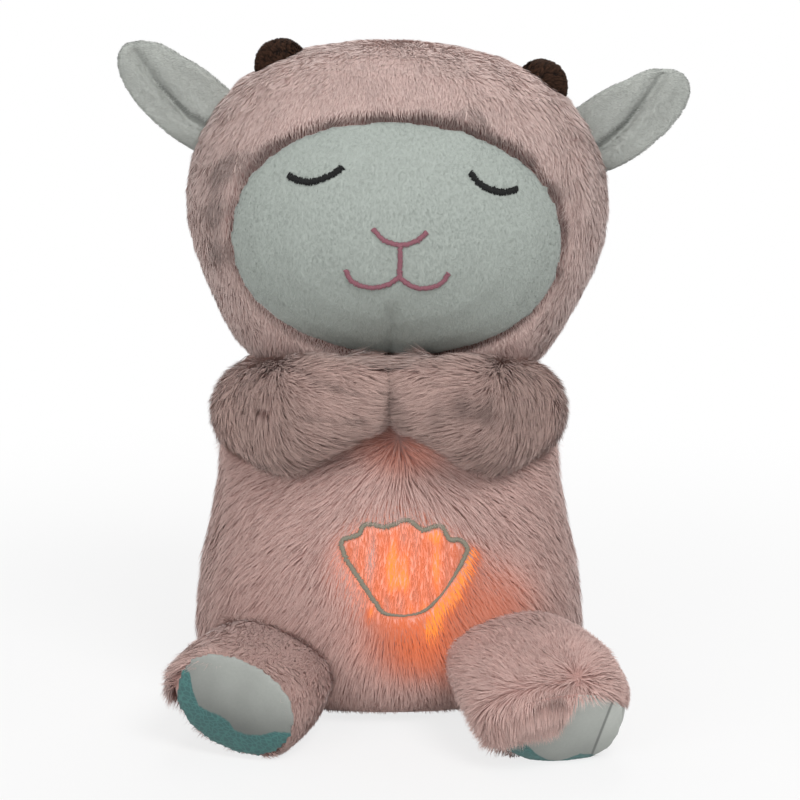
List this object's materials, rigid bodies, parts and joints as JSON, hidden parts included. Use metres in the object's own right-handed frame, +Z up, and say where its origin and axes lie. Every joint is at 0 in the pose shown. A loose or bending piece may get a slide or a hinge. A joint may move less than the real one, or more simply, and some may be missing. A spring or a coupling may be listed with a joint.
{
  "type": "musical plush toy",
  "caption": "Seated plush lamb with a hood, horns and paws across its chest; a motor and cam move its lit belly, and a back pocket holds the music module.",
  "frame": {"origin": "on the floor, under the middle of the seat", "axes": "+Z up, -Y the way the lamb faces, +X to its left hand"},
  "size_m": [0.2377, 0.1904, 0.2759],
  "materials": {
    "pink_fur": "long-pile dusty pink plush",
    "hood_plush": "short-pile pale pink plush",
    "white_plush": "smooth white plush",
    "brown_plush": "short dark brown plush",
    "sole_fabric": "woven white fabric with a printed teal wave",
    "belly_fur": "long-pile plush lit from behind",
    "lining": "brushed pink fabric and hook and loop tape",
    "white_plastic": "moulded, fine texture",
    "grey_plastic": "moulded",
    "gear_plastic": "moulded acetal",
    "steel": "bright steel",
    "nickel": "nickel plated",
    "cell_jacket": "plain printed film over steel",
    "foam": "open-cell foam",
    "light_board": "white solder mask",
    "lamp": "clear amber",
    "dome": "frosted",
    "circuit_board": "green solder mask",
    "speaker_cone": "black paper cone"
  },
  "bodies": {
    "lamb": {"body": "pink_fur", "head": "hood_plush", "face_panel": "white_plush", "left_horn": "brown_plush", "right_horn": "brown_plush", "left_leg": "pink_fur", "right_leg": "pink_fur", "left_sole": "sole_fabric", "right_sole": "sole_fabric", "hook_strip": "lining", "front_housing": "white_plastic", "rear_housing": "white_plastic", "battery_door": "white_plastic", "battery_door_screw": "steel", "housing_screw_1": "steel", "housing_screw_2": "steel", "housing_screw_3": "steel", "housing_screw_4": "steel", "battery_1": "cell_jacket", "battery_2": "cell_jacket", "battery_3": "cell_jacket", "left_contact": "nickel", "right_contact": "nickel", "contact_spring_1": "nickel", "contact_spring_2": "nickel", "contact_spring_3": "nickel", "circuit_board": "circuit_board", "speaker_frame": "steel", "speaker_cone": "speaker_cone", "slide_switch": "steel", "mechanism_frame": "grey_plastic", "gear_motor": "steel", "cam_shaft": "steel", "compound_shaft": "steel", "left_return_spring": "steel", "right_return_spring": "steel"},
    "left_ear_body": {"left_ear": "white_plush"},
    "right_ear_body": {"right_ear": "white_plush"},
    "left_arm_body": {"left_arm": "pink_fur"},
    "right_arm_body": {"right_arm": "pink_fur"},
    "flap": {"back_flap": "lining", "loop_strip": "lining"},
    "plate": {"push_plate": "white_plastic", "follower_roller": "gear_plastic", "roller_pin": "steel", "left_guide_clip": "steel", "right_guide_clip": "steel", "foam_ring": "foam", "light_board": "light_board", "lamp_1": "lamp", "lamp_2": "lamp", "dome_switch": "grey_plastic", "belly_panel": "belly_fur"},
    "dome": {"light_dome": "dome"},
    "cam": {"cam_gear": "gear_plastic"},
    "compound": {"compound_gear": "gear_plastic"},
    "pinion": {"motor_pinion": "gear_plastic"},
    "knob": {"slide_knob": "grey_plastic"},
    "play": {"play_button": "grey_plastic"},
    "volume": {"volume_button": "grey_plastic"}
  },
  "joints": [
    {"name": "left_ear_swing", "type": "hinge", "parent": "lamb", "child": "left_ear_body", "pos_m": [-0.07316, 0, 0.24397], "axis": [0.5592, 0, 0.829], "range_deg": [-20, 20], "stiffness_Nm_per_rad": 0.01},
    {"name": "right_ear_swing", "type": "hinge", "parent": "lamb", "child": "right_ear_body", "pos_m": [0.08363, 0, 0.23576], "axis": [-0.4695, 0, 0.8829], "range_deg": [-20, 20], "stiffness_Nm_per_rad": 0.01},
    {"name": "left_arm_open", "type": "hinge", "parent": "lamb", "child": "left_arm_body", "pos_m": [-0.052, -0.03, 0.126], "axis": [0, 0, -1], "range_deg": [0, 40], "stiffness_Nm_per_rad": 0.03},
    {"name": "right_arm_open", "type": "hinge", "parent": "lamb", "child": "right_arm_body", "pos_m": [0.052, -0.03, 0.126], "axis": [0, 0, 1], "range_deg": [0, 40], "stiffness_Nm_per_rad": 0.03},
    {"name": "flap_lift", "type": "hinge", "parent": "lamb", "child": "flap", "pos_m": [0, 0.04074, 0.112], "axis": [1, 0, 0], "range_deg": [0, 100]},
    {"name": "cam_turn", "type": "hinge", "parent": "lamb", "child": "cam", "pos_m": [0, -0.016, 0.068], "axis": [1, 0, 0], "range_deg": [0, 180]},
    {"name": "compound_turn", "type": "hinge", "parent": "lamb", "child": "compound", "pos_m": [0, -0.016, 0.0496], "axis": [1, 0, 0], "range_deg": [-648, 0]},
    {"name": "pinion_turn", "type": "hinge", "parent": "lamb", "child": "pinion", "pos_m": [0, -0.016, 0.0328], "axis": [1, 0, 0], "range_deg": [0, 2073.6]},
    {"name": "plate_slide", "type": "slide", "parent": "lamb", "child": "plate", "axis": [0, -1, 0], "range_m": [0, 0.006], "deforming": ["left_return_spring", "right_return_spring"]},
    {"name": "dome_press", "type": "slide", "parent": "plate", "child": "dome", "axis": [0, 1, 0], "range_m": [0, 0.0015], "stiffness_N_per_m": 400},
    {"name": "knob_slide", "type": "slide", "parent": "lamb", "child": "knob", "axis": [1, 0, 0], "range_m": [-0.002, 0.002]},
    {"name": "play_press", "type": "slide", "parent": "lamb", "child": "play", "axis": [0, -1, 0], "range_m": [0, 0.0008], "stiffness_N_per_m": 500},
    {"name": "volume_press", "type": "slide", "parent": "lamb", "child": "volume", "axis": [0, -1, 0], "range_m": [0, 0.0008], "stiffness_N_per_m": 500}
  ],
  "couplings": [
    {"joint": "cam_turn", "follows": "plate_slide", "rad_per_m": 523.6},
    {"joint": "compound_turn", "follows": "plate_slide", "rad_per_m": -1885},
    {"joint": "pinion_turn", "follows": "plate_slide", "rad_per_m": 6031.9}
  ]
}
